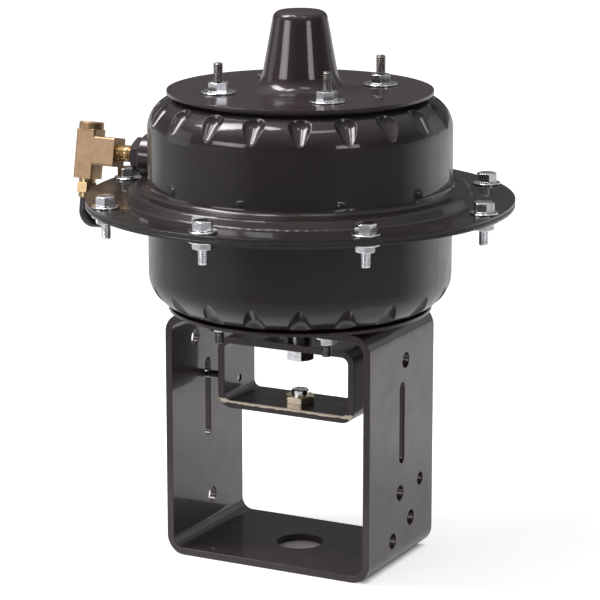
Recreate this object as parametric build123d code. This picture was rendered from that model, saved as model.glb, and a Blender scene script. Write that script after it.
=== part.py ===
from build123d import *
import os
from math import cos, pi, radians, sin, sqrt, tan

# Spring-return rolling diaphragm actuator for a globe valve. Millimetres, +Z up.
# The origin is the centre of the valve bore in the foot of the yoke, at its underside.
# The two cans, the yoke and the fasteners stand still. The piston, the stem, the stem
# bracket and the guide screw slide down together by the stroke when air comes in.

# Sheet metal cans and the clamped flanges
can_r = 117.0
can_height = 80.0
sheet = 2.0
can_corner_r = 25.0
bead_height = 7.0
bead_inner_r = can_r + 13.0
bead_foot_r = bead_inner_r + 5.0
wall_fillet = 5.0
bead_fillet = 2.6
flute_count = 20
flute_top_r = 10.5
flute_top_sink = 4.6
flute_top_angle = 50.0
flute_foot_r = 5.0
flute_foot_sink = 2.2
flute_foot_angle = 21.0
diaphragm_t = 1.6

# Flange bolts
bolt_r = 3.97
bolt_circle_r = bead_foot_r + 18.8
flange_r = bolt_circle_r + 11.2
bolt_count = 8
bolt_clearance = 0.35
bolt_head_af = 14.0
bolt_head_h = 8.0
bolt_tail = 11.5
washer_r = 10.8
washer_t = 1.6
nut_af = 14.0
bolt_nut_h = 5.0

# Studs of the cap and of the yoke
stud_circle_r = 65.0
stud_count = 4
stud_r = 3.97
cap_stud_out = 22.9
cap_nut_h = 7.0
cap_washer_r = 13.5
yoke_nut_h = 4.8
yoke_stud_tail = 9.9
yoke_washer_r = 9.2
stud_ring_in = stud_circle_r - 11.0
stud_ring_out = stud_circle_r + 11.0
stud_ring_t = 5.0

# Cap and end plates
plate_r = can_r - 15.0
plate_t = 2.5
cap_gasket_t = 2.3
bottom_gasket_t = 0.8
spacer_r = stud_circle_r + 15.0
spacer_t = 3.1
cone_height = 60.1
cone_top_r = 20.0
cone_foot_r = 31.0
cone_flare_r = 14.0
cone_edge_r = 6.5

# Yoke
yoke_w = 176.0
yoke_h = 194.5
yoke_d = 114.0
yoke_t = 5.5
yoke_corner_r = 15.0
valve_bore_r = 18.5

# Stem bracket
bracket_side_gap = 23.25
bracket_h = 57.3
bracket_d = 50.0
bracket_t = 5.5
bracket_corner_r = 11.0
bracket_gap = 16.5
bracket_w = yoke_w - 2 * (yoke_t + bracket_side_gap)
stroke = 38.0

# Stem and guide
stem_r = 9.5
stem_thread_r = stem_r - 3.2
stem_bolt_af = 20.6
stem_bolt_h = 12.0
stem_bolt_len = 22.0
bush_r = stem_r + 3.0
bush_len = 26.0
bush_gap = 0.05
guide_r = bush_r + 3.5
guide_flange_r = guide_r + 8.0
guide_flange_t = 3.0
guide_len = 34.0
hole_gap = 0.4
soft_gap = 0.3

# Piston and return spring
piston_r = can_r - 17.0
piston_t = 3.0
piston_skirt = 66.0
piston_fillet = 6.0
clamp_plate_r = piston_r - 12.0
clamp_plate_t = 4.0
lock_nut_af = 2 * stem_thread_r + 6.4
lock_nut_h = 9.5
spring_wire = 12.7
spring_r = guide_r + 44.0
spring_turns = 7.0
spring_seat_t = 2.5
spring_seat_r = spring_r + 12.0
seat_lip = 5.0

# Brass connector for the valve stem, with its lock screw
valve_thread_r = 4.76
connector_af = 21.0
connector_h = 5.5
connector_spigot_r = valve_thread_r + 3.2
valve_thread_top = 1.5
lock_screw_r = 6.8
lock_screw_h = 4.5
lock_shank_r = 3.0

# Guide screw
screw_r = 3.2
screw_drop = 39.5
screw_head_af = 11.0
screw_head_h = 4.4
screw_head_gap = 3.0
slot_w = 9.2
slot_over = 13.6
slot_under = 51.0

# Air connection
port_z = 304.3
boss_r = 18.0
boss_face_x = can_r + 19.3
coupling_af = 24.5
coupling_len = 8.7
coupling_end = boss_face_x + coupling_len
nipple_r = 6.85
nipple_bore_r = 4.2
thread_in = 7.0
tee_branch_end = coupling_end + 16.6
tee_x = tee_branch_end + 27.0
tee_w = 17.5
tee_h = 45.5
tee_branch_h = 23.0
tee_edge_r = 2.0
tee_collar_r = 10.0
tee_collar_h = 6.0
tee_turn = -10.8
tee_port_r = 5.6
tee_bore_r = 3.6
adapter_neck_r = 6.8
adapter_neck_h = 3.0
adapter_af = 15.0
adapter_h = 8.5
adapter_ring_r = 6.2
adapter_ring_h = 3.5
adapter_bore_r = 2.4
elbow_r = 4.7
elbow_bore_r = 2.4
elbow_drop = 19.0
elbow_bend_r = 9.5
elbow_leg = 6.5

# Heights that follow from the sizes above
bottom_plate_z = yoke_h + spacer_t
lower_can_z = bottom_plate_z + plate_t + bottom_gasket_t
mid_z = lower_can_z + can_height + diaphragm_t / 2
upper_can_z = mid_z + diaphragm_t / 2 + can_height
cap_z = upper_can_z + cap_gasket_t + plate_t
flange_half = diaphragm_t / 2 + sheet
ring_top_z = upper_can_z - sheet
clamp_top_z = ring_top_z - stud_ring_t - soft_gap
head_top_z = clamp_top_z - clamp_plate_t - diaphragm_t
head_low_z = head_top_z - piston_t
can_floor_z = lower_can_z + sheet
seat_low_z = can_floor_z + stud_ring_t
seat_top_z = seat_low_z + spring_seat_t
bracket_top_z = yoke_h - yoke_t - bracket_gap
bracket_low_z = bracket_top_z - bracket_h
screw_z = bracket_top_z - screw_drop
slot_high = screw_z + slot_over
slot_low = screw_z - slot_under
parts = {}


def hexagon(af, height):
    return extrude(RegularPolygon(af / sqrt(3), 6), height)


def hex_body(af, height):
    # Hexagon with its upper corners turned off at 30 degrees
    top_r = af / 2 - 0.3
    wide_r = af / sqrt(3) + 0.1
    drop = (wide_r - top_r) * tan(radians(30))
    side = Polyline((0, 0), (wide_r, 0), (wide_r, height - drop), (top_r, height), (0, height), close=True)
    turned = revolve(Plane.XZ * make_face(side), Axis.Z)
    return hexagon(af, height) & turned


def washer(outer_r, inner_r, thickness):
    return extrude(Circle(outer_r) - Circle(inner_r), thickness)


def rod(radius, z_low, z_high):
    return Pos(0, 0, z_low) * extrude(Circle(radius), z_high - z_low)


def turned(points):
    return revolve(Plane.XZ * make_face(Polyline(*points, close=True)), Axis.Z)


def around(radius, count, start=0.0):
    return [loc for loc in PolarLocations(radius, count, start)]


def copies(shape, locations):
    return Compound([loc * shape for loc in locations])


def can_form(inset):
    # Solid inside one skin of the can, open flange down, at z = 0 on the flange face
    lean = inset * sqrt((bead_foot_r - bead_inner_r) ** 2 + bead_height**2) / bead_height
    rise = (bead_foot_r - bead_inner_r) / bead_height
    foot_r = bead_foot_r - lean if inset else bead_foot_r
    foot_z = 0.0 if inset else sheet
    slope_foot = foot_r + rise * (sheet - foot_z)
    bead_z = sheet + bead_height - inset
    bead_r = foot_r - rise * (bead_z - sheet)
    wall_r = can_r - inset
    top_z = can_height - inset
    corner = [(slope_foot, foot_z), (bead_r, bead_z), (wall_r, bead_z), (wall_r, top_z)]
    radii = [0 if inset else bead_fillet, bead_fillet, wall_fillet + inset, can_corner_r - inset]
    start = [(0, 0)] if inset else [(0, 0), (flange_r, 0), (flange_r, sheet)]
    face = make_face(Polyline(*start, *corner, (0, top_z), close=True))
    for (r, z), size in zip(corner, radii):
        if size:
            point = face.vertices().sort_by_distance((r, z, 0))[0]
            face = fillet(point, size)
    form = revolve(Plane.XZ * face, Axis.Z)
    return form - flutes(inset)


def flute_centre(ball_r, sink, angle):
    # Centre of a ball that dips into the rounded corner
    reach = can_corner_r + ball_r - sink
    tilt = radians(angle)
    return can_r - can_corner_r + reach * cos(tilt), can_height - can_corner_r + reach * sin(tilt)


def flutes(inset):
    # Tapered fingers with round ends, each of which presses a valley into the corner
    low = Vector(*flute_centre(flute_foot_r, flute_foot_sink, flute_foot_angle))
    high = Vector(*flute_centre(flute_top_r, flute_top_sink, flute_top_angle))
    low_r = flute_foot_r + inset
    high_r = flute_top_r + inset
    length = (high - low).length
    lean = (high_r - low_r) / length
    across = sqrt(1 - lean**2)
    side = [(low_r * across, -low_r * lean), (high_r * across, length - high_r * lean)]
    foot = RadiusArc((0, -low_r), side[0], -low_r)
    crown = RadiusArc(side[1], (0, length + high_r), -high_r)
    outline = [foot, Line(side[0], side[1]), crown, Line((0, length + high_r), (0, -low_r))]
    finger = revolve(Plane.XZ * make_face(outline), Axis.Z)
    along = (high - low).normalized()
    place = Plane(origin=(low.X, 0, low.Y), z_dir=(along.X, 0, along.Y), x_dir=(0, 1, 0))
    tool = place * finger
    half_step = 180 / flute_count
    places = [Rot(0, 0, -90 + half_step + 2 * half_step * k) for k in range(flute_count)]
    return Compound([spot * tool for spot in places])


def build_can():
    can = can_form(0) - can_form(sheet)
    can -= rod(cone_foot_r - 6, can_height - 6, can_height + 1)
    for loc in around(bolt_circle_r, bolt_count):
        can -= loc * rod(bolt_r + bolt_clearance, -1, sheet + 1)
    for loc in around(stud_circle_r, stud_count, 45):
        can -= loc * rod(stud_r + bolt_clearance, can_height - 6, can_height + 1)
    return can


# Two equal cans, one turned over
can = build_can()
port = Pos(-can_r, 0, port_z - mid_z - diaphragm_t / 2) * Rot(0, 90, 0) * Cylinder(nipple_bore_r, 20)
parts["upper_can"] = Pos(0, 0, mid_z + diaphragm_t / 2) * (can - port)
parts["lower_can"] = Pos(0, 0, mid_z - diaphragm_t / 2) * Rot(180, 0, 0) * can

# Pressed cap: end plate and hollow cone in one sheet
cap_low = cap_z - plate_t
cap_top = cap_z + cone_height


def cap_form(inset):
    slope = (cone_foot_r - cone_top_r) / cone_height
    top = cap_top - inset
    foot = cap_z - inset
    top_r = cone_top_r - inset + slope * inset
    line = [(0, foot - 4), (plate_r, foot - 4), (plate_r, foot), (cone_foot_r - inset, foot), (top_r, top)]
    face = make_face(Polyline(*line, (0, top), close=True))
    for index, size in ((3, cone_flare_r + inset), (4, cone_edge_r - inset)):
        point = face.vertices().sort_by_distance((line[index][0], line[index][1], 0))[0]
        face = fillet(point, size)
    return revolve(Plane.XZ * face, Axis.Z)


cap = cap_form(0) - cap_form(plate_t) - rod(plate_r + 5, cap_low - 9, cap_low)
for loc in around(stud_circle_r, stud_count, 45):
    cap -= loc * rod(stud_r + bolt_clearance, cap_low - 1, cap_z + 1)
parts["top_cap"] = cap


def drilled_ring(outer_r, inner_r, z_low, thickness, hole_r):
    ring = Pos(0, 0, z_low) * washer(outer_r, inner_r, thickness)
    for loc in around(stud_circle_r, stud_count, 45):
        ring -= loc * rod(hole_r, z_low - 1, z_low + thickness + 1)
    return ring


stud_hole_r = stud_r + bolt_clearance
bottom_gasket_z = lower_can_z - bottom_gasket_t
parts["cap_gasket"] = drilled_ring(plate_r - 6, stud_ring_in, upper_can_z, cap_gasket_t, stud_hole_r)
parts["bottom_gasket"] = drilled_ring(spacer_r, stud_ring_in, bottom_gasket_z, bottom_gasket_t, stud_hole_r)
guide_hole_r = guide_r + hole_gap
parts["bottom_plate"] = drilled_ring(plate_r, guide_hole_r, bottom_plate_z, plate_t, stud_hole_r)
spacer = drilled_ring(spacer_r, guide_hole_r, yoke_h, spacer_t, stud_hole_r)
parts["yoke_spacer"] = spacer & Pos(0, 0, yoke_h) * Box(2 * spacer_r, yoke_d - 2, 3 * spacer_t)


def stud_ring(z_low, z_tip, z_root):
    # Ring with four pressed studs
    ring = Pos(0, 0, z_low) * washer(stud_ring_out, stud_ring_in, stud_ring_t)
    for loc in around(stud_circle_r, stud_count, 45):
        stud = rod(stud_r, min(z_tip, z_root), max(z_tip, z_root))
        edge = stud.edges().sort_by(Axis.Z)[-1 if z_tip > z_root else 0]
        ring += loc * chamfer(edge, 0.8)
    return ring


washer_top = cap_z + washer_t
parts["upper_stud_ring"] = stud_ring(ring_top_z - stud_ring_t, cap_z + cap_stud_out, ring_top_z - 1)
yoke_under = yoke_h - yoke_t
stud_tip = yoke_under - washer_t - yoke_nut_h - yoke_stud_tail
parts["lower_stud_ring"] = stud_ring(can_floor_z, stud_tip, can_floor_z + 1)

cap_nut = hex_body(nut_af, cap_nut_h) - rod(stud_r, -1, cap_nut_h + 1)
yoke_nut = hex_body(nut_af, yoke_nut_h) - rod(stud_r, -1, yoke_nut_h + 1)
stud_places = around(stud_circle_r, stud_count, 45)
turned_over = Rot(180, 0, 0)
parts["cap_washers"] = Pos(0, 0, cap_z) * copies(washer(cap_washer_r, stud_hole_r, washer_t), stud_places)
parts["cap_nuts"] = Pos(0, 0, washer_top) * copies(cap_nut, [loc * Rot(0, 0, 12) for loc in stud_places])
under_washer = washer(yoke_washer_r, stud_hole_r, washer_t)
parts["yoke_washers"] = Pos(0, 0, yoke_under - washer_t) * copies(under_washer, stud_places)
lower_nut = [loc * Rot(0, 0, 20) * turned_over for loc in stud_places]
parts["yoke_nuts"] = Pos(0, 0, yoke_under - washer_t) * copies(yoke_nut, lower_nut)

# Flange bolts, their washers above and below, and their nuts
bolt_places = around(bolt_circle_r, bolt_count)
head_z = flange_half + washer_t
shank_low = -(flange_half + washer_t + bolt_nut_h + bolt_tail)
shank = rod(bolt_r, shank_low, head_z + 1)
shank = chamfer(shank.edges().sort_by(Axis.Z)[0], 0.8)
head = Pos(0, 0, head_z) * hex_body(bolt_head_af, bolt_head_h)
head -= rod(bolt_head_af * 0.33, head_z + bolt_head_h - 1.1, head_z + bolt_head_h + 1)
turns = [8, 22, 3, 15, 27, 10, 19, 5]
placed = [loc * Rot(0, 0, turn) for loc, turn in zip(bolt_places, turns)]
parts["flange_bolts"] = Pos(0, 0, mid_z) * copies(head + shank, placed)
bolt_washer = washer(washer_r, bolt_r + bolt_clearance, washer_t)
above = Pos(0, 0, mid_z + flange_half) * copies(bolt_washer, bolt_places)
below = Pos(0, 0, mid_z - flange_half - washer_t) * copies(bolt_washer, bolt_places)
parts["upper_washers"] = above
parts["lower_washers"] = below
bolt_nut = hex_body(nut_af, bolt_nut_h) - rod(bolt_r, -1, bolt_nut_h + 1)
nut_places = [loc * Rot(0, 0, 7) * turned_over for loc in bolt_places]
parts["flange_nuts"] = Pos(0, 0, mid_z - flange_half - washer_t) * copies(bolt_nut, nut_places)

# Rolling diaphragm: clamped flat in the flange, hanging in a fold beside the piston
fold_in_r = piston_r + soft_gap + diaphragm_t
fold_out_r = can_r - sheet - soft_gap - diaphragm_t
fold_r = (fold_out_r - fold_in_r) / 2
fold_mid_r = (fold_out_r + fold_in_r) / 2
fold_z = mid_z - 34.0
bend_r = 7.0
top_z = head_top_z + diaphragm_t


def diaphragm_form():
    half = diaphragm_t / 2
    outside = fold_out_r + diaphragm_t
    drape = Polyline((outside, fold_z), (outside, mid_z - half), (flange_r, mid_z - half),
                     (flange_r, mid_z + half), (fold_out_r, mid_z + half), (fold_out_r, fold_z), close=True)
    sheet_face = make_face(drape)
    for corner, size in (((outside, mid_z - half), bend_r), ((fold_out_r, mid_z + half), bend_r + diaphragm_t)):
        sheet_face = fillet(sheet_face.vertices().sort_by_distance((*corner, 0))[0], size)
    loop = Pos(fold_mid_r, fold_z) * (Circle(fold_r + diaphragm_t) - Circle(fold_r))
    loop -= Pos(fold_mid_r, fold_z + 20) * Rectangle(60, 40)
    inside = fold_in_r - diaphragm_t
    hat = make_face(Polyline((fold_in_r, fold_z), (fold_in_r, top_z), (stem_thread_r + 1, top_z),
                             (stem_thread_r + 1, head_top_z), (inside, head_top_z), (inside, fold_z), close=True))
    for corner, size in (((fold_in_r, top_z), piston_fillet + diaphragm_t),
                         ((inside, head_top_z), piston_fillet)):
        hat = fillet(hat.vertices().sort_by_distance((*corner, 0))[0], size)
    return revolve(Plane.XZ * (sheet_face + loop + hat), Axis.Z)


diaphragm = diaphragm_form()
for loc in bolt_places:
    diaphragm -= loc * rod(bolt_r + bolt_clearance, mid_z - 2, mid_z + 2)
parts["diaphragm"] = diaphragm

# Piston: pressed cup, open below
cup = turned([(0, head_top_z - piston_skirt), (piston_r, head_top_z - piston_skirt), (piston_r, head_top_z),
              (0, head_top_z)])
cup = fillet(cup.edges().filter_by(GeomType.CIRCLE).sort_by(Axis.Z)[-1], piston_fillet)
hollow = rod(piston_r - piston_t, head_top_z - piston_skirt - 1, head_low_z)
hollow = fillet(hollow.edges().filter_by(GeomType.CIRCLE).sort_by(Axis.Z)[-1], piston_fillet - piston_t)
stem_hole_r = stem_thread_r + hole_gap
parts["piston"] = cup - hollow - rod(stem_hole_r, head_low_z - 1, head_top_z + 1)
clamp_plate = rod(clamp_plate_r, clamp_top_z - clamp_plate_t, clamp_top_z)
clamp_plate = fillet(clamp_plate.edges().filter_by(GeomType.CIRCLE).sort_by(Axis.Z)[-1], 2.5)
parts["clamp_plate"] = clamp_plate - rod(stem_hole_r, clamp_top_z - clamp_plate_t - 1, clamp_top_z + 1)
lock_washer = washer(16.0, stem_hole_r, 2.5)
parts["lock_washer"] = Pos(0, 0, clamp_top_z) * lock_washer
lock_nut = hex_body(lock_nut_af, lock_nut_h) - rod(stem_thread_r, -1, lock_nut_h + 1)
parts["lock_nut"] = Pos(0, 0, clamp_top_z + 2.5) * lock_nut

# Stem with a shoulder under the piston and a tapped foot on the bracket
stem_end_z = clamp_top_z + 2.5 + lock_nut_h + 3.5
stem = rod(stem_r, bracket_top_z, head_low_z) + rod(stem_thread_r, head_low_z - 1, stem_end_z)
stem = chamfer(stem.edges().filter_by(GeomType.CIRCLE).sort_by(Axis.Z)[-1], 1.0)
bolt_in = stem_bolt_len - bracket_t
parts["stem"] = stem - rod(stem_thread_r, bracket_top_z - 1, bracket_top_z + bolt_in + 3)

# Return spring on its seat, round the stem guide
spring_low = seat_top_z + spring_wire / 2 + 0.05
spring_high = head_low_z - spring_wire / 2 - 0.05
pitch = (spring_high - spring_low) / (spring_turns - 0.5)


def spring_form():
    coil = Helix(pitch=pitch, height=spring_high - spring_low, radius=spring_r)
    start = Plane(origin=coil @ 0, z_dir=coil % 0)
    wire = sweep(start * Circle(spring_wire / 2), path=coil, is_frenet=True)
    return Pos(0, 0, spring_low) * wire


parts["spring"] = spring_form()
seat_in = guide_flange_r + 2
seat = turned([(seat_in, 0), (spring_seat_r, 0), (spring_seat_r, seat_lip + spring_seat_t),
               (spring_seat_r - spring_seat_t, seat_lip + spring_seat_t),
               (spring_seat_r - spring_seat_t, spring_seat_t), (seat_in, spring_seat_t)])
parts["spring_seat"] = Pos(0, 0, seat_low_z) * seat

# Stem guide: turned housing through the can and the yoke, with a bronze bush and a wiper
guide_low = yoke_h - yoke_t
guide_top = can_floor_z + guide_len
guide = rod(guide_r, guide_low, guide_top) + rod(guide_flange_r, can_floor_z, can_floor_z + guide_flange_t)
guide = chamfer(guide.edges().filter_by(GeomType.CIRCLE).sort_by(Axis.Z)[-1], 1.0)
guide -= rod(bush_r, guide_top - bush_len, guide_top + 1)
guide -= rod(stem_r + 1.2, guide_low - 1, guide_top)
guide -= rod(bush_r, guide_low - 1, guide_low + 5)
parts["stem_guide"] = guide
bush = washer(bush_r, stem_r + bush_gap, bush_len)
parts["guide_bush"] = Pos(0, 0, guide_top - bush_len) * bush
parts["stem_wiper"] = Pos(0, 0, guide_low) * washer(bush_r, stem_r + soft_gap, 4.9)


def loop_form(width, height, depth, wall, corner_r, z_low):
    # Closed band bent from flat bar, axis along Y
    outside = RectangleRounded(width, height, corner_r)
    inside = RectangleRounded(width - 2 * wall, height - 2 * wall, corner_r - wall)
    band = extrude(Plane.XZ * (outside - inside), depth / 2, both=True)
    return Pos(0, 0, z_low + height / 2) * band


def cross_hole(x, y, z, radius):
    return Pos(x, y, z) * Rot(0, 90, 0) * Cylinder(radius, 4 * yoke_t)


# Yoke with guide slots and the accessory holes of the two side plates
yoke = loop_form(yoke_w, yoke_h, yoke_d, yoke_t, yoke_corner_r, 0)
yoke -= rod(guide_hole_r, yoke_under - 1, yoke_h + 1)
for loc in stud_places:
    yoke -= loc * rod(stud_hole_r, yoke_under - 1, yoke_h + 1)
yoke -= rod(valve_bore_r, -1, yoke_t + 1)
slot_mid = (slot_low + slot_high) / 2
slot = extrude(Plane.YZ * Pos(0, slot_mid) * SlotOverall(slot_high - slot_low, slot_w, rotation=90), yoke_w, both=True)
yoke -= slot
side_x = yoke_w / 2 - yoke_t / 2
low_holes = [(33.8, 60.8, 5.2), (-2.6, 58.6, 6.2), (17.1, 33.6, 6.2), (-15.1, 23.0, 6.2)]
drop = slot_low / 82.0
for y, z, r in [(6.0, yoke_h - 31.6, 6.2), *((y, z * drop, r) for y, z, r in low_holes)]:
    yoke -= cross_hole(side_x, y, z, r)
for y, z, r in ((-19.5, yoke_h - 27.5, 6.2), (6.3, 31.0 * drop, 6.2)):
    yoke -= cross_hole(-side_x, y, z, r)
parts["yoke"] = yoke

# Stem bracket: a smaller band, bolted to the stem, that slides inside the yoke
bracket = loop_form(bracket_w, bracket_h, bracket_d, bracket_t, bracket_corner_r, bracket_low_z)
bracket -= rod(stem_thread_r + hole_gap, bracket_top_z - bracket_t - 1, bracket_top_z + 1)
bracket -= rod(connector_spigot_r, bracket_low_z - 1, bracket_low_z + bracket_t + 1)
bracket -= cross_hole(-(bracket_w / 2 - bracket_t / 2), 0, screw_z, screw_r)
parts["stem_bracket"] = bracket
bolt = Pos(0, 0, -stem_bolt_h) * turned_over * Pos(0, 0, -stem_bolt_h) * hex_body(stem_bolt_af, stem_bolt_h)
bolt += rod(stem_thread_r, -1, stem_bolt_len)
parts["stem_bolt"] = Pos(0, 0, bracket_top_z - bracket_t) * bolt

# Brass connector, set in the floor of the bracket, with a lock screw on top
connector = hex_body(connector_af, connector_h) + rod(connector_spigot_r, -bracket_t, 1)
connector -= rod(valve_thread_r, -bracket_t - 1, valve_thread_top)
connector -= rod(lock_shank_r, valve_thread_top + 1, connector_h + 1)
bracket_floor = Pos(0, 0, bracket_low_z + bracket_t)
parts["stem_connector"] = bracket_floor * connector
lock_screw = rod(lock_screw_r, connector_h, connector_h + lock_screw_h)
lock_screw = chamfer(lock_screw.edges().sort_by(Axis.Z)[-1], 0.8)
lock_screw += rod(lock_shank_r, valve_thread_top + 1.5, connector_h + 1)
slot_depth = 1.6
lock_screw -= Pos(0, 0, connector_h + lock_screw_h) * Box(3 * lock_screw_r, 1.6, 2 * slot_depth)
parts["connector_screw"] = bracket_floor * lock_screw

# Guide screw through the left slot, screwed into the wall of the bracket
bracket_side = bracket_w / 2
head_face = yoke_w / 2 + screw_head_gap
screw = rod(screw_r, 0, head_face - bracket_side + bracket_t - 1)
screw = chamfer(screw.edges().sort_by(Axis.Z)[-1], 0.6)
screw += Pos(0, 0, -screw_head_h) * hexagon(screw_head_af, screw_head_h)
parts["guide_screw"] = Pos(-head_face, 0, screw_z) * Rot(0, 90, 0) * screw

# Air connection on the left: welded boss, hex coupling, close nipple, tee, adapter, elbow
toward_left = Pos(0, 0, port_z) * Rot(0, -90, 0)
boss = toward_left * rod(boss_r, can_r - 4, boss_face_x)
boss = fillet(boss.edges().filter_by(GeomType.CIRCLE).sort_by(Axis.X)[0], 2.5)
boss -= Pos(0, 0, mid_z + diaphragm_t / 2) * can_form(0)
boss += toward_left * rod(coupling_af / sqrt(3) - 1, boss_face_x - 0.5, boss_face_x + 1)
boss += toward_left * Pos(0, 0, boss_face_x) * hex_body(coupling_af, coupling_len)
boss -= toward_left * rod(nipple_bore_r, can_r - 6, coupling_end + 1)
boss -= toward_left * rod(nipple_r, coupling_end - thread_in, coupling_end + 1)
parts["port_boss"] = boss

nipple_end = tee_branch_end + thread_in
nipple = rod(nipple_r, coupling_end - thread_in, nipple_end) - rod(nipple_bore_r, coupling_end - 20, 250)
parts["close_nipple"] = toward_left * nipple


def tee_form():
    # Bar of T profile with softened edges and a round top, drilled on both axes
    run_h = tee_h - tee_collar_h
    run = Pos(0, 0, -tee_h / 2) * extrude(RectangleRounded(tee_w, tee_w, tee_edge_r), run_h)
    branch_len = tee_x - tee_branch_end
    branch = extrude(RectangleRounded(tee_branch_h, tee_w, tee_edge_r), branch_len)
    collar = rod(tee_collar_r, tee_h / 2 - tee_collar_h, tee_h / 2)
    collar = chamfer(collar.edges().sort_by(Axis.Z)[-1], 1.2)
    body = run + Rot(0, 90, 0) * branch + collar
    body -= Cylinder(tee_bore_r, tee_h + 2)
    body -= rod(tee_port_r, tee_h / 2 - 11, tee_h / 2 + 1)
    body -= rod(tee_port_r, -tee_h / 2 - 1, -tee_h / 2 + 9)
    body -= Rot(0, 90, 0) * rod(nipple_bore_r, 0, branch_len + 1)
    body -= Rot(0, 90, 0) * rod(nipple_r, branch_len - thread_in, branch_len + 1)
    return body


tee_place = Pos(-tee_x, 0, port_z) * Rot(tee_turn, 0, 0)
parts["tee"] = tee_place * tee_form()

# Adapter: thread, neck, hexagon and the ring that holds the tube
foot = -tee_h / 2
hex_top = foot - adapter_neck_h
ring_top = hex_top - adapter_h
socket_low = ring_top - adapter_ring_h
adapter = rod(tee_port_r, foot - 1, foot + 8.5) + rod(adapter_neck_r, hex_top - 1, foot)
adapter += Pos(0, 0, hex_top) * turned_over * hex_body(adapter_af, adapter_h)
adapter += rod(adapter_ring_r, socket_low, ring_top + 1)
adapter -= rod(adapter_bore_r, socket_low - 1, foot + 10)
adapter -= rod(elbow_r, socket_low - 1, socket_low + 6)
parts["tube_adapter"] = tee_place * adapter


def elbow_form():
    # Bent tube: straight leg from the adapter, a quarter turn, and a short open leg
    top = Vector(0, 0, socket_low + 6)
    turn = Vector(0, 0, socket_low - elbow_drop)
    out = turn + Vector(elbow_leg + elbow_bend_r, 0, 0)
    path = FilletPolyline(top, turn, out, radius=elbow_bend_r)
    section = Plane(origin=top, z_dir=(0, 0, -1)) * (Circle(elbow_r) - Circle(elbow_bore_r))
    return sweep(section, path=path)


parts["tube_elbow"] = tee_place * Rot(0, 0, 65) * elbow_form()

os.makedirs("parts", exist_ok=True)
for name, shape in parts.items():
    export_step(shape, f"parts/{name}.step")
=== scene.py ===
from math import atan2, cos, pi, radians, sin, sqrt, tan

import bmesh
import bpy
from mathutils import Matrix, Vector


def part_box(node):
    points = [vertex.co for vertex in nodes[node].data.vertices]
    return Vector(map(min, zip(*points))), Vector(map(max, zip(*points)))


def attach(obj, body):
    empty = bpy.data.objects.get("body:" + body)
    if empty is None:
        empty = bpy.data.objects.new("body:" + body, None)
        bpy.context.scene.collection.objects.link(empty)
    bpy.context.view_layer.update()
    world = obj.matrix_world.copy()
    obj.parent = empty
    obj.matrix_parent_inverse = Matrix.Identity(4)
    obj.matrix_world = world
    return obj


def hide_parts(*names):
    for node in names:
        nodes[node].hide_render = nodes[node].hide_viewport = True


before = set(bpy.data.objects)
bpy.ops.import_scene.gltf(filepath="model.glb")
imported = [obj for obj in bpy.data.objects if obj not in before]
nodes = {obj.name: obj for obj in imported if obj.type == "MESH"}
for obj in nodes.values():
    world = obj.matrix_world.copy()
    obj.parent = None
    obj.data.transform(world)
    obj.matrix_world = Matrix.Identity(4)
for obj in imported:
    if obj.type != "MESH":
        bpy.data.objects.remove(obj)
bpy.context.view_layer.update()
scene = bpy.context.scene

# Sizes in metres that repeat the CAD model's
BOLT_CIRCLE = 0.1538
STUD_CIRCLE = 0.065
MID_Z = 0.2817
FLANGE_HALF = 0.0028
CAP_Z = 0.3673
YOKE_UNDER = 0.189
WASHER_T = 0.0016
BOLT_R = 0.00397
PITCH = 0.00141


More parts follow.
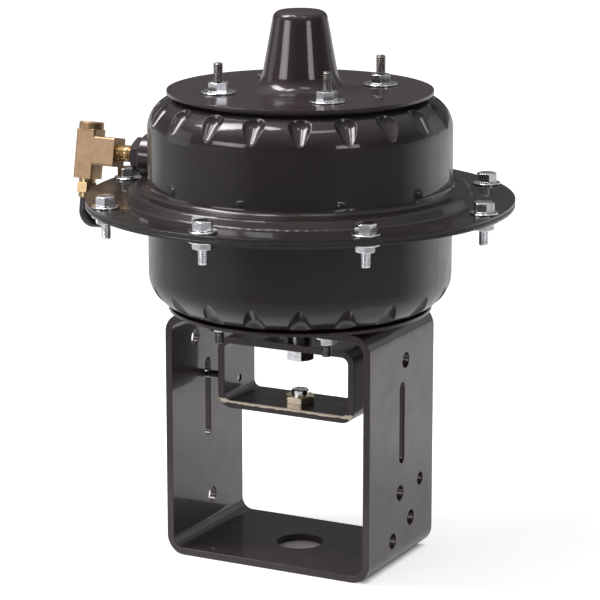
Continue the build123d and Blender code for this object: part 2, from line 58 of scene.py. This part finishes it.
# Node-tree helpers
class Tree:
    def __init__(self, name):
        self.material = bpy.data.materials.new(name)
        self.material.use_nodes = True
        self.nodes = self.material.node_tree.nodes
        self.links = self.material.node_tree.links
        self.shader = self.nodes["Principled BSDF"]
        self.place = self.nodes.new("ShaderNodeTexCoord").outputs["Object"]

    def add(self, kind, sockets=None, **settings):
        node = self.nodes.new(kind)
        for key, value in settings.items():
            setattr(node, key, value)
        for key, value in (sockets or {}).items():
            if isinstance(value, bpy.types.NodeSocket):
                self.links.new(value, node.inputs[key])
            else:
                node.inputs[key].default_value = value
        return node

    def noise(self, scale, detail=3.0, roughness=0.5, stretch=None):
        vector = self.place
        if stretch:
            vector = self.add("ShaderNodeMapping", {"Vector": vector, "Scale": stretch}).outputs[0]
        sockets = {"Vector": vector, "Scale": scale, "Detail": detail, "Roughness": roughness}
        return self.add("ShaderNodeTexNoise", sockets).outputs["Fac"]

    def spread(self, value, low, high, from_low=0.3, from_high=0.7):
        sockets = {"Value": value, "From Min": from_low, "From Max": from_high, "To Min": low, "To Max": high}
        return self.add("ShaderNodeMapRange", sockets).outputs["Result"]

    def tones(self, value, colours):
        ramp = self.add("ShaderNodeValToRGB", {"Fac": value})
        stops = ramp.color_ramp.elements
        while len(stops) < len(colours):
            stops.new(0.5)
        for stop, (position, colour) in zip(stops, colours):
            stop.position = position
            stop.color = (*colour, 1.0)
        return ramp.outputs["Color"]

    def mix(self, factor, first, second):
        node = self.add("ShaderNodeMix", data_type="RGBA")
        for index, value in ((0, factor), (6, first), (7, second)):
            if isinstance(value, bpy.types.NodeSocket):
                self.links.new(value, node.inputs[index])
            else:
                node.inputs[index].default_value = value if index == 0 else (*value, 1.0)
        return node.outputs[2]

    def rounded(self, radius):
        return self.add("ShaderNodeBevel", {"Radius": radius}, samples=4).outputs["Normal"]

    def bump(self, height, distance, normal=None):
        sockets = {"Height": height, "Distance": distance, "Strength": 1.0}
        if normal:
            sockets["Normal"] = normal
        return self.add("ShaderNodeBump", sockets).outputs["Normal"]

    def edge_highlight_mask(self, radius):
        # 0 on flat faces, towards 1 where an edge turns; used to paint highlights on edges
        soft = self.rounded(radius)
        sharp = self.add("ShaderNodeNewGeometry").outputs["Normal"]
        dot = self.add("ShaderNodeVectorMath", {0: soft, 1: sharp}, operation="DOT_PRODUCT").outputs["Value"]
        return self.spread(dot, 1.0, 0.0, 0.86, 0.99)

    def set(self, **values):
        for key, value in values.items():
            socket = self.shader.inputs[key.replace("_", " ")]
            if isinstance(value, bpy.types.NodeSocket):
                self.links.new(value, socket)
            else:
                socket.default_value = (*value, 1.0) if isinstance(value, tuple) else value
        return self.material


def paint(name, light, dark, edge=0.0009, highlight_edge=None):
    # Stoved gloss enamel over pressed steel: slow tone changes, fine orange peel, dust
    tree = Tree(name)
    tone = tree.tones(tree.noise(9.0, 4.0), [(0.3, dark), (0.7, light)])
    dust = tree.spread(tree.noise(900.0, 2.0), 0.0, 0.10, 0.66, 0.78)
    tone = tree.mix(dust, tone, (0.10, 0.09, 0.085))
    peel = tree.noise(420.0, 2.0)
    wave = tree.noise(38.0, 2.0)
    edges = tree.rounded(edge)
    normal = tree.bump(wave, 0.00012, tree.bump(peel, 0.000008, edges))
    rough = tree.spread(tree.noise(60.0, 3.0), 0.32, 0.44)
    facing = tree.add("ShaderNodeLayerWeight", {"Blend": 0.5, "Normal": normal}).outputs["Facing"]
    gloss = tree.spread(facing, 0.72, 0.1, 0.5, 0.95)
    if highlight_edge:
        # A painted highlight: a ragged cream line along one edge, given as its y and z
        place = tree.add("ShaderNodeVectorMath", {0: tree.place, 1: (0.0, *highlight_edge)}, operation="SUBTRACT").outputs[0]
        place = tree.add("ShaderNodeVectorMath", {0: place, 1: (0.0, 1.0, 1.0)}, operation="MULTIPLY").outputs[0]
        gap = tree.add("ShaderNodeVectorMath", {0: place}, operation="LENGTH").outputs["Value"]
        ragged = tree.spread(tree.noise(300.0, 3.0), 0.0011, 0.0022)
        painted_highlight = tree.add("ShaderNodeMath", {0: gap, 1: ragged}, operation="LESS_THAN").outputs[0]
        tone = tree.mix(painted_highlight, tone, (0.78, 0.68, 0.52))
    return tree.set(Base_Color=tone, Roughness=rough, Normal=normal, Specular_IOR_Level=0.16,
                    Specular_Tint=(1.0, 0.80, 0.88), Coat_Weight=gloss, Coat_Roughness=0.045, Coat_IOR=1.5, Coat_Normal=normal)


def plated(name, bright, shade, rough=(0.2, 0.34), edge=0.0004):
    # Zinc plate: bluish silver with cloudy patches, fine draw lines and edges painted lighter as a highlight
    tree = Tree(name)
    cloud = tree.noise(260.0, 5.0, 0.6)
    tone = tree.tones(cloud, [(0.25, shade), (0.5, bright), (0.8, tuple(min(1.0, c * 1.12) for c in bright))])
    grain = tree.noise(1400.0, 3.0)
    edges = tree.rounded(edge)
    # Painted highlight: the colour turns lighter where an edge turns
    tone = tree.mix(tree.edge_highlight_mask(edge), tone, tuple(min(1.0, c * 1.2) for c in bright))
    normal = tree.bump(grain, 0.00003, edges)
    return tree.set(Base_Color=tone, Metallic=1.0, Roughness=tree.spread(cloud, *rough), Normal=normal)


def cast_brass(name, bright, shade, rough, grain_scale, grain_depth, edge=0.0005):
    tree = Tree(name)
    cloud = tree.noise(170.0, 5.0, 0.62)
    tone = tree.tones(cloud, [(0.28, shade), (0.6, bright), (0.85, tuple(min(1.0, c * 1.15) for c in bright))])
    grain = tree.noise(grain_scale, 3.0, 0.6)
    edges = tree.rounded(edge)
    # Painted highlight: the colour turns lighter where an edge turns
    tone = tree.mix(tree.edge_highlight_mask(edge), tone, tuple(min(1.0, c * 1.25) for c in bright))
    normal = tree.bump(grain, grain_depth, edges)
    return tree.set(Base_Color=tone, Metallic=1.0, Roughness=tree.spread(cloud, *rough), Normal=normal)


def moulded(name, light, dark, rough, grain_depth=0.00002):
    tree = Tree(name)
    tone = tree.tones(tree.noise(120.0, 4.0), [(0.3, dark), (0.7, light)])
    normal = tree.bump(tree.noise(1100.0, 3.0), grain_depth, tree.rounded(0.0004))
    return tree.set(Base_Color=tone, Roughness=tree.spread(tree.noise(200.0, 3.0), *rough), Normal=normal)


enamel = paint("enamel", (0.028, 0.0195, 0.0205), (0.021, 0.0148, 0.0152))
# The cans take a darker copy of the same enamel: painted shade
can_enamel_shaded = paint("can_enamel_shaded", (0.0185, 0.0158, 0.0145), (0.0135, 0.0118, 0.0102), 0.0012)
# The bracket's enamel has a painted highlight along the front top edge of its floor
bracket_enamel_highlighted = paint("bracket_enamel_highlighted", (0.028, 0.0205, 0.0210), (0.021, 0.0155, 0.0158), 0.0012, (-0.025, 0.1207))
zinc = plated("zinc_plate", (0.80, 0.82, 0.84), (0.46, 0.48, 0.52), (0.06, 0.16), 0.0009)
dark_stud = plated("dark_stud", (0.26, 0.25, 0.24), (0.12, 0.115, 0.11), (0.14, 0.26))
steel = plated("ground_steel", (0.58, 0.58, 0.58), (0.45, 0.45, 0.46), (0.12, 0.2))
spring_steel = moulded("spring_steel", (0.05, 0.055, 0.07), (0.03, 0.034, 0.045), (0.3, 0.45))
tee_brass = cast_brass("cast_brass", (0.40, 0.28, 0.17), (0.27, 0.185, 0.11), (0.42, 0.55), 900.0, 0.00012)
adapter_brass = cast_brass("adapter_brass", (0.40, 0.30, 0.165), (0.27, 0.20, 0.10), (0.24, 0.36), 1200.0, 0.00003)
bar_brass = cast_brass("turned_brass", (0.58, 0.41, 0.21), (0.40, 0.27, 0.13), (0.2, 0.34), 1500.0, 0.00002)
# The stem connector's brass is painted far paler than the other brass: a painted highlight
brass_with_painted_highlight = cast_brass("brass_with_painted_highlight", (1.0, 0.90, 0.66), (0.92, 0.76, 0.50), (0.3, 0.42), 1500.0, 0.00002)
bronze = cast_brass("bearing_bronze", (0.52, 0.30, 0.14), (0.40, 0.22, 0.10), (0.3, 0.42), 1500.0, 0.00003)
rubber = moulded("nitrile_rubber", (0.020, 0.020, 0.020), (0.010, 0.010, 0.010), (0.55, 0.7), 0.00006)
gasket = moulded("fibre_gasket", (0.045, 0.042, 0.038), (0.022, 0.021, 0.020), (0.7, 0.85), 0.00008)
nylon = moulded("black_nylon", (0.016, 0.016, 0.018), (0.010, 0.010, 0.011), (0.3, 0.42))

finishes = {
    can_enamel_shaded: ("upper_can", "lower_can"),
    bracket_enamel_highlighted: ("stem_bracket",),
    enamel: ("top_cap", "bottom_plate", "yoke", "yoke_spacer", "port_boss",
             "piston", "clamp_plate", "spring_seat"),
    zinc: ("cap_washers", "cap_nuts", "yoke_washers", "yoke_nuts", "flange_bolts", "upper_washers",
           "lower_washers", "flange_nuts", "lock_washer", "lock_nut", "stem_bolt", "connector_screw"),
    dark_stud: ("upper_stud_ring", "lower_stud_ring", "guide_screw"),
    steel: ("stem", "stem_guide"),
    spring_steel: ("spring",),
    tee_brass: ("tee",),
    adapter_brass: ("tube_adapter",),
    brass_with_painted_highlight: ("stem_connector",),
    bronze: ("guide_bush",),
    rubber: ("diaphragm", "stem_wiper"),
    gasket: ("cap_gasket", "bottom_gasket"),
    nylon: ("tube_elbow",),
}
for finish, names in finishes.items():
    for name in names:
        nodes[name].data.materials.clear()
        nodes[name].data.materials.append(finish)


# Mesh code for the fasteners and threads
def hex_radius(flats, angle):
    return flats / 2 / cos((angle % (pi / 3)) - pi / 6)


def ring(mesh, radius, height, count=48):
    # radius is a number or a function of the angle, and so is height
    corners = []
    for k in range(count):
        a = 2 * pi * k / count
        r = radius(a) if callable(radius) else radius
        z = height(a) if callable(height) else height
        corners.append(mesh.verts.new((r * cos(a), r * sin(a), z)))
    return corners


def skin(mesh, rings, closed=False):
    pairs = list(zip(rings, rings[1:]))
    if closed:
        pairs.append((rings[-1], rings[0]))
    for low, high in pairs:
        for k in range(len(low)):
            n = (k + 1) % len(low)
            mesh.faces.new((low[k], low[n], high[n], high[k]))


def hex_rings(mesh, flats, height, hole=0.0, crown=0.0, collar=0.0):
    # Hexagon on z = 0 with turned-off corners, a crowned or holed top and a washer face below
    top = flats / 2 - 0.0005

    def side(a):
        return hex_radius(flats, a)

    def shoulder(a):
        return height - crown - (side(a) - top) * 0.4

    foot = collar if collar else 0.0
    rings = [ring(mesh, hole or 0.0006, 0.0)]
    if collar:
        rings += [ring(mesh, flats / 2 - 0.0003, 0.0), ring(mesh, flats / 2 - 0.0002, collar)]
    rings += [ring(mesh, side, foot), ring(mesh, side, shoulder), ring(mesh, top, height - crown)]
    if hole:
        rings += [ring(mesh, hole + 0.0006, height), ring(mesh, hole, height - 0.0005)]
        skin(mesh, rings, closed=True)
    else:
        rings += [ring(mesh, top * 0.75, height - crown * 0.35), ring(mesh, top * 0.4, height), ring(mesh, 0.0002, height)]
        skin(mesh, rings)
        mesh.faces.new(rings[-1])


def thread_rings(mesh, radius, low, high, depth=0.0009, tip=0.0009, pitch=PITCH, sides=28, caps=True):
    # Rod with a helical thread, its ends chamfered by tip
    steps = max(2, round((high - low) / pitch * 7))
    rows = []
    for j in range(steps + 1):
        z = low + (high - low) * j / steps
        end = max(0.0, tip - min(z - low, high - z)) if tip else 0.0
        row = []
        for k in range(sides):
            a = 2 * pi * k / sides
            turn = (z / pitch - k / sides) % 1.0
            r = min(radius - depth * (1 - abs(2 * turn - 1)) ** 0.8, radius - end)
            row.append(mesh.verts.new((r * cos(a), r * sin(a), z)))
        rows.append(row)
    skin(mesh, rows)
    if caps:
        mesh.faces.new(rows[-1])
        mesh.faces.new(list(reversed(rows[0])))


def form(build, *matrices):
    # One mesh with the built shape placed once for each matrix
    shape = bmesh.new()
    build(shape)
    bmesh.ops.recalc_face_normals(shape, faces=shape.faces)
    mesh = bpy.data.meshes.new("form")
    shape.to_mesh(mesh)
    shape.free()
    whole = bmesh.new()
    for matrix in matrices or (Matrix.Identity(4),):
        first = len(whole.verts)
        whole.from_mesh(mesh)
        whole.verts.ensure_lookup_table()
        bmesh.ops.transform(whole, matrix=matrix, verts=whole.verts[first:])
    whole.to_mesh(mesh)
    whole.free()
    return mesh


def fitted(name, meshes, node, finish, body="casing"):
    # A detailed piece that stands for a CAD node
    whole = bmesh.new()
    for mesh in meshes:
        whole.from_mesh(mesh)
    joined = bpy.data.meshes.new(name)
    whole.to_mesh(joined)
    whole.free()
    for face in joined.polygons:
        face.use_smooth = True
    joined.set_sharp_from_angle(angle=radians(32))
    joined.materials.append(finish)
    piece = bpy.data.objects.new(name, joined)
    scene.collection.objects.link(piece)
    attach(piece, body)
    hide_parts(node)
    return piece


def spots(radius, count, start, height, turns, down=False):
    flip = Matrix.Rotation(pi, 4, "X") if down else Matrix.Identity(4)
    found = []
    for k in range(count):
        a = start + 2 * pi * k / count
        turn = turns[k % len(turns)]
        place = Matrix.Translation((radius * cos(a), radius * sin(a), height)) @ Matrix.Rotation(a + radians(turn), 4, "Z")
        found.append(place @ flip)
    return found


def washer_rings(mesh, outer, inner, thick):
    soft = thick * 0.3
    rings = [ring(mesh, inner, 0.0), ring(mesh, outer - soft, 0.0), ring(mesh, outer, soft), ring(mesh, outer, thick - soft),
             ring(mesh, outer - soft, thick), ring(mesh, inner, thick)]
    skin(mesh, rings, closed=True)


HEAD_Z = MID_Z + FLANGE_HALF + WASHER_T
NUT_Z = MID_Z - FLANGE_HALF - WASHER_T
bolt_spots = spots(BOLT_CIRCLE, 8, 0.0, HEAD_Z, (8, 22, 3, 15, 27, 10, 19, 5))
heads = form(lambda m: hex_rings(m, 0.014, 0.008, crown=0.0005, collar=0.0005), *bolt_spots)
low_end = NUT_Z - 0.005 - 0.0115 - HEAD_Z
tails = form(lambda m: thread_rings(m, BOLT_R, low_end, 0.001), *bolt_spots)
fitted("bolt_set", (heads, tails), "flange_bolts", zinc)
nuts = form(lambda m: hex_rings(m, 0.014, 0.005, hole=BOLT_R + 0.0002), *spots(BOLT_CIRCLE, 8, 0.0, NUT_Z, (7, 31, 18, 43, 2, 25, 12, 37), True))
fitted("nut_set", (nuts,), "flange_nuts", zinc)
CAP_NUT_Z = CAP_Z + WASHER_T
nuts = form(lambda m: hex_rings(m, 0.014, 0.007, hole=BOLT_R + 0.0002), *spots(STUD_CIRCLE, 4, pi / 4, CAP_NUT_Z, (12, 33, 5, 22)))
fitted("cap_nut_set", (nuts,), "cap_nuts", zinc)
YOKE_NUT_Z = YOKE_UNDER - WASHER_T
nuts = form(lambda m: hex_rings(m, 0.014, 0.0048, hole=BOLT_R + 0.0002), *spots(STUD_CIRCLE, 4, pi / 4, YOKE_NUT_Z, (20, 2, 41, 13), True))
fitted("yoke_nut_set", (nuts,), "yoke_nuts", zinc)
washers = form(lambda m: washer_rings(m, 0.0135, BOLT_R + 0.0003, WASHER_T), *spots(STUD_CIRCLE, 4, pi / 4, CAP_Z, (0,)))
fitted("cap_washer_set", (washers,), "cap_washers", zinc)
washers = form(lambda m: washer_rings(m, 0.0108, BOLT_R + 0.0003, WASHER_T), *spots(BOLT_CIRCLE, 8, 0.0, MID_Z + FLANGE_HALF, (0,)))
fitted("upper_washer_set", (washers,), "upper_washers", zinc)
washers = form(lambda m: washer_rings(m, 0.0108, BOLT_R + 0.0003, WASHER_T), *spots(BOLT_CIRCLE, 8, 0.0, NUT_Z, (0,)))
fitted("lower_washer_set", (washers,), "lower_washers", zinc)
upright = spots(STUD_CIRCLE, 4, pi / 4, 0.0, (0,))
ring_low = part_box("upper_stud_ring")[0][2]
stud_ring = form(lambda m: washer_rings(m, 0.076, 0.054, 0.005), Matrix.Translation((0, 0, ring_low)))
studs = form(lambda m: thread_rings(m, BOLT_R, ring_low + 0.0045, CAP_Z + 0.0229), *upright)
fitted("upper_stud_set", (stud_ring, studs), "upper_stud_ring", dark_stud)
ring_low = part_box("lower_stud_ring")[1][2] - 0.005
stud_ring = form(lambda m: washer_rings(m, 0.076, 0.054, 0.005), Matrix.Translation((0, 0, ring_low)))
studs = form(lambda m: thread_rings(m, BOLT_R, YOKE_NUT_Z - 0.0048 - 0.0099, ring_low + 0.0005), *upright)
fitted("lower_stud_set", (stud_ring, studs), "lower_stud_ring", dark_stud)

PORT_Z = 0.3043
along = Matrix.Translation((0, 0, PORT_Z)) @ Matrix.Rotation(-pi / 2, 4, "Y")


def nipple_rings(mesh):
    thread_rings(mesh, 0.00685, 0.138, 0.1515, tip=0, caps=False)
    thread_rings(mesh, 0.00685, 0.1545, 0.1686, tip=0, caps=False)
    skin(mesh, [ring(mesh, r, z) for r, z in ((0.0042, 0.138), (0.0062, 0.138), (0.0063, 0.1515), (0.0066, 0.152),
                                              (0.0066, 0.154), (0.0063, 0.1545), (0.0062, 0.1686), (0.0042, 0.1686))],
         closed=True)


fitted("close_nipple_piece", (form(nipple_rings, along),), "close_nipple", bar_brass)


# Floor, lights and camera
def stage_mesh(name, corners, faces):
    mesh = bpy.data.meshes.new(name)
    mesh.from_pydata(corners, [], faces)
    piece = bpy.data.objects.new(name, mesh)
    scene.collection.objects.link(piece)
    return piece


span = 24.0
floor = stage_mesh("floor", [(-span, -span, 0), (span, -span, 0), (span, span, 0), (-span, span, 0)], [(0, 1, 2, 3)])
floor.location.z = -0.0003
ground = Tree("pale_floor")
speck = ground.tones(ground.noise(30.0, 3.0), [(0.3, (0.56, 0.56, 0.56)), (0.7, (0.60, 0.60, 0.60))])
ground.set(Base_Color=speck, Roughness=0.8, Specular_IOR_Level=0.1)
path = ground.add("ShaderNodeLightPath")
seen = path.outputs["Is Camera Ray"]
for other in ("Is Glossy Ray", "Is Transmission Ray"):
    seen = ground.add("ShaderNodeMath", {0: seen, 1: path.outputs[other]}, operation="MAXIMUM").outputs[0]
# Painted light on the floor: its glow is full near the object and in two lobes behind it, at azimuths -170 and -65,
# and dies away in front of it
away = ground.add("ShaderNodeVectorMath", {0: ground.place}, operation="LENGTH").outputs["Value"]


def toward(azimuth, low, high, most):
    aim = (sin(radians(azimuth)), -cos(radians(azimuth)), 0.0)
    reach = ground.add("ShaderNodeVectorMath", {0: ground.place, 1: aim}, operation="DOT_PRODUCT").outputs["Value"]
    part = ground.add("ShaderNodeMath", {0: reach, 1: away}, operation="DIVIDE").outputs[0]
    return ground.spread(part, 0.0, most, low, high)


front = ground.add("ShaderNodeVectorMath", {0: ground.place, 1: (0.174, -0.985, 0.0)}, operation="DOT_PRODUCT")
fade = ground.add("ShaderNodeMath", {0: ground.spread(away, 1.0, 0.0, 0.3, 0.55), 1: ground.spread(front.outputs["Value"], 1.0, 0.0, 0.16, 0.3)},
                  operation="MULTIPLY").outputs[0]
for lobe in (toward(-170, 0.1, 0.65, 1.0), toward(-65, 0.5, 0.85, 0.3)):
    fade = ground.add("ShaderNodeMath", {0: fade, 1: lobe}, operation="MAXIMUM").outputs[0]
fade = ground.add("ShaderNodeMath", {0: fade, 1: ground.spread(away, 0.68, 0.95, 0.3, 1.6)}, operation="MULTIPLY").outputs[0]
# Under the foot of the yoke the floor stays in full shade
flat = ground.add("ShaderNodeVectorMath", {0: ground.place, 1: (1 / 0.086, 1 / 0.055, 0.0)}, operation="MULTIPLY")
flat = ground.add("ShaderNodeVectorMath", {0: flat.outputs[0]}, operation="ABSOLUTE").outputs[0]
sides = ground.add("ShaderNodeSeparateXYZ", {0: flat})
span_out = ground.add("ShaderNodeMath", {0: sides.outputs[0], 1: sides.outputs[1]}, operation="MAXIMUM").outputs[0]
fade = ground.add("ShaderNodeMath", {0: fade, 1: ground.spread(span_out, 0.0, 1.0, 0.9, 1.0)}, operation="MULTIPLY").outputs[0]
strength = ground.add("ShaderNodeMath", {0: seen, 1: fade}, operation="MULTIPLY").outputs[0]
painted_floor_glow = ground.add("ShaderNodeEmission", {"Color": (1, 1, 1, 1), "Strength": strength})
both = ground.add("ShaderNodeAddShader", {0: ground.shader.outputs[0], 1: painted_floor_glow.outputs[0]})
ground.links.new(both.outputs[0], ground.nodes["Material Output"].inputs["Surface"])
floor.data.materials.append(ground.material)

world = bpy.data.worlds.new("studio")
scene.world = world
world.use_nodes = True
sky = world.node_tree
glow = sky.nodes["Background"]
glow.inputs["Color"].default_value = (1.0, 0.97, 0.97, 1.0)
aim = sky.nodes.new("ShaderNodeTexCoord")
split = sky.nodes.new("ShaderNodeSeparateXYZ")
rise = sky.nodes.new("ShaderNodeMapRange")
for socket, value in (("From Min", 0.3), ("From Max", 0.95), ("To Min", 0.16), ("To Max", 0.75)):
    rise.inputs[socket].default_value = value
sky.links.new(aim.outputs["Generated"], split.inputs[0])
sky.links.new(split.outputs["Z"], rise.inputs["Value"])
sky.links.new(rise.outputs["Result"], glow.inputs["Strength"])


def softbox(name, azimuth, elevation, distance, width, height, radiance, spread=60.0, tint=(1, 1, 1)):
    # Azimuth 0 stands in front at -Y and 90 stands at +X
    light = bpy.data.lights.new(name, "AREA")
    light.shape = "RECTANGLE"
    light.size = width
    light.size_y = height
    light.color = tint
    light.spread = radians(spread)
    half = radians(spread / 2)
    light.energy = radiance * width * height * pi * (1 - half / tan(half))
    lamp = bpy.data.objects.new(name, light)
    a, e = radians(azimuth), radians(elevation)
    target = Vector((0, 0, 0.25))
    out = Vector((sin(a) * cos(e), -cos(a) * cos(e), sin(e)))
    lamp.location = target + out * distance
    lamp.rotation_euler = out.to_track_quat("Z", "Y").to_euler()
    scene.collection.objects.link(lamp)
    return lamp


softbox("key_left", -66, 54, 2.4, 0.85, 1.15, 25.0, 50.0, (1.0, 0.98, 0.98))
softbox("key_top", -42, 74, 2.4, 0.8, 0.3, 18.0, 50.0)
softbox("fill_right", 50, 66, 2.4, 0.8, 0.3, 7.0, 50.0)
softbox("strip_left", -27, 13, 2.6, 1.2, 0.5, 9.0, 60.0, (0.98, 0.93, 1.0))
softbox("strip_right", 62, 13, 2.6, 0.8, 0.5, 7.0, 60.0, (0.98, 0.95, 1.0))
softbox("side_left", -75, 10, 3.0, 1.4, 1.6, 1.2, 60.0)
softbox("back_right", 150, 14, 3.4, 2.2, 1.6, 0.7, 60.0)

camera_data = bpy.data.cameras.new("camera")
camera_data.lens = 168.05
camera_data.sensor_width = 36.0
camera_data.clip_end = 60.0
camera = bpy.data.objects.new("camera", camera_data)
camera.location = (0.9667, -1.8797, 0.7046)
camera.rotation_euler = (radians(76.62), 0.0, radians(27.22))
scene.collection.objects.link(camera)
scene.camera = camera
scene.view_settings.view_transform = "Standard"
